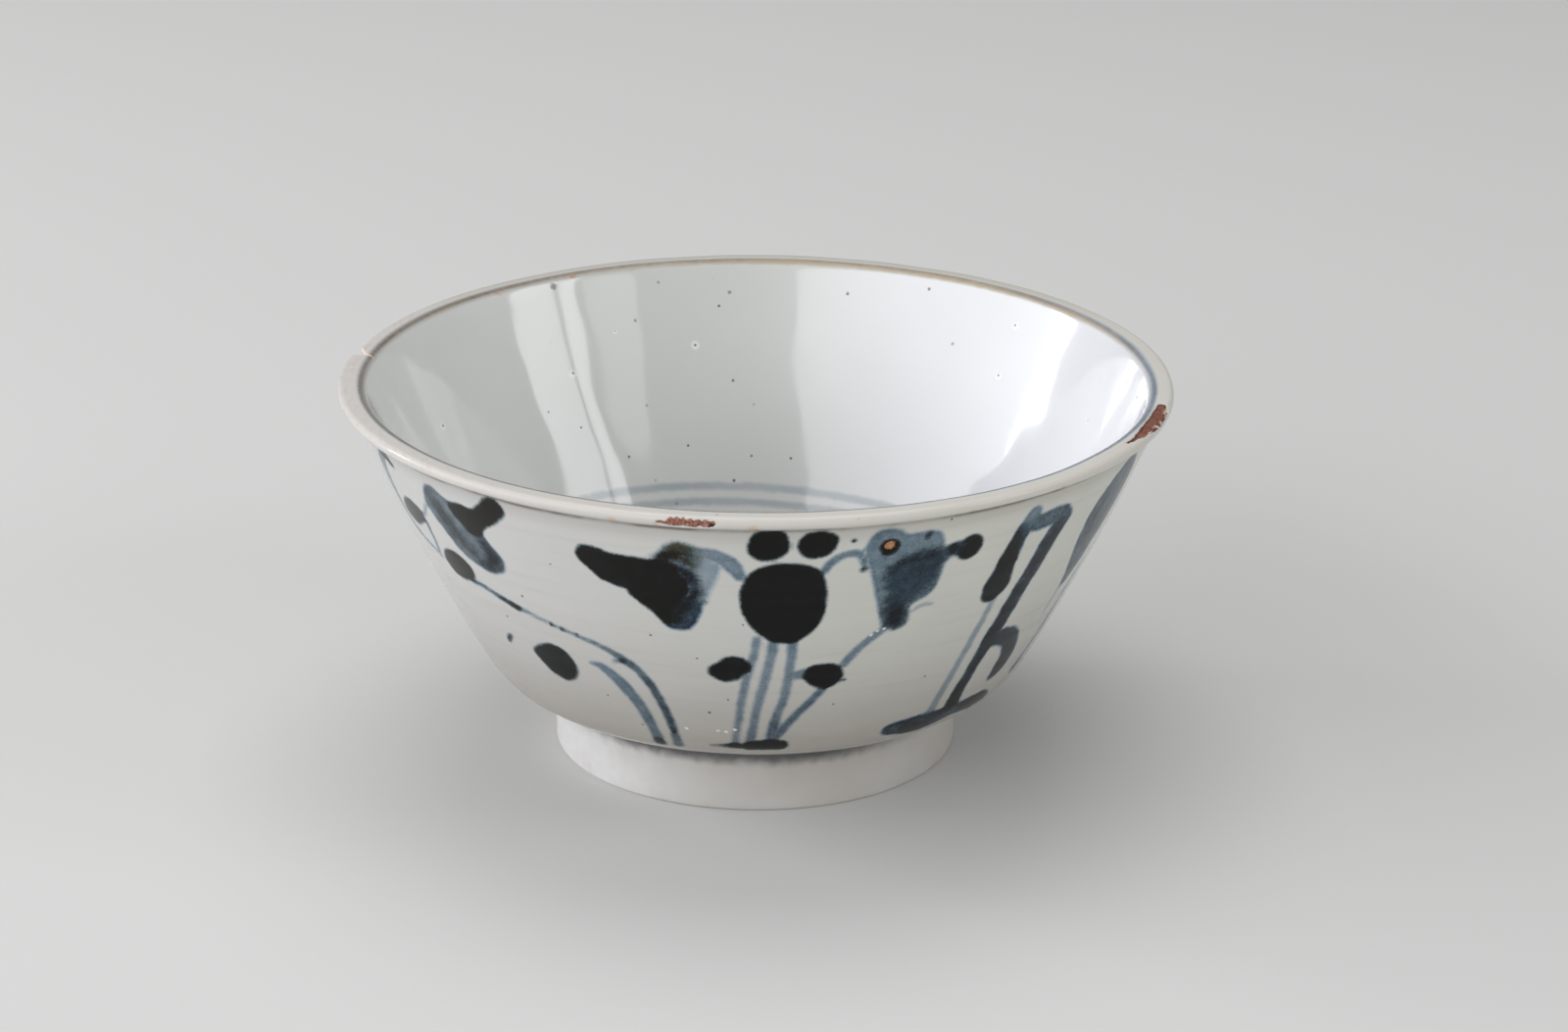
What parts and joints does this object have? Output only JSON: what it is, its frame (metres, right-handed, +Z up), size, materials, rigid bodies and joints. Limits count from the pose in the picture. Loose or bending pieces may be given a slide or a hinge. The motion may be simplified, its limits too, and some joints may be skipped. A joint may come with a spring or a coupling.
{
  "type": "cracked bowl",
  "caption": "Round footed pottery bowl with flaring wall and everted lip, glazed and painted, with a notch broken through the lip.",
  "frame": {"origin": "centre of the foot ring on the surface that the bowl stands on", "axes": "+Z up along the bowl's axis; the painted flower with the round dark head faces -Y, and the notch is near -X"},
  "size_m": [0.15, 0.15, 0.0697],
  "materials": {
    "glazed_pottery": "glossy"
  },
  "bodies": {
    "root": {"bowl": "glazed_pottery"}
  },
  "joints": []
}
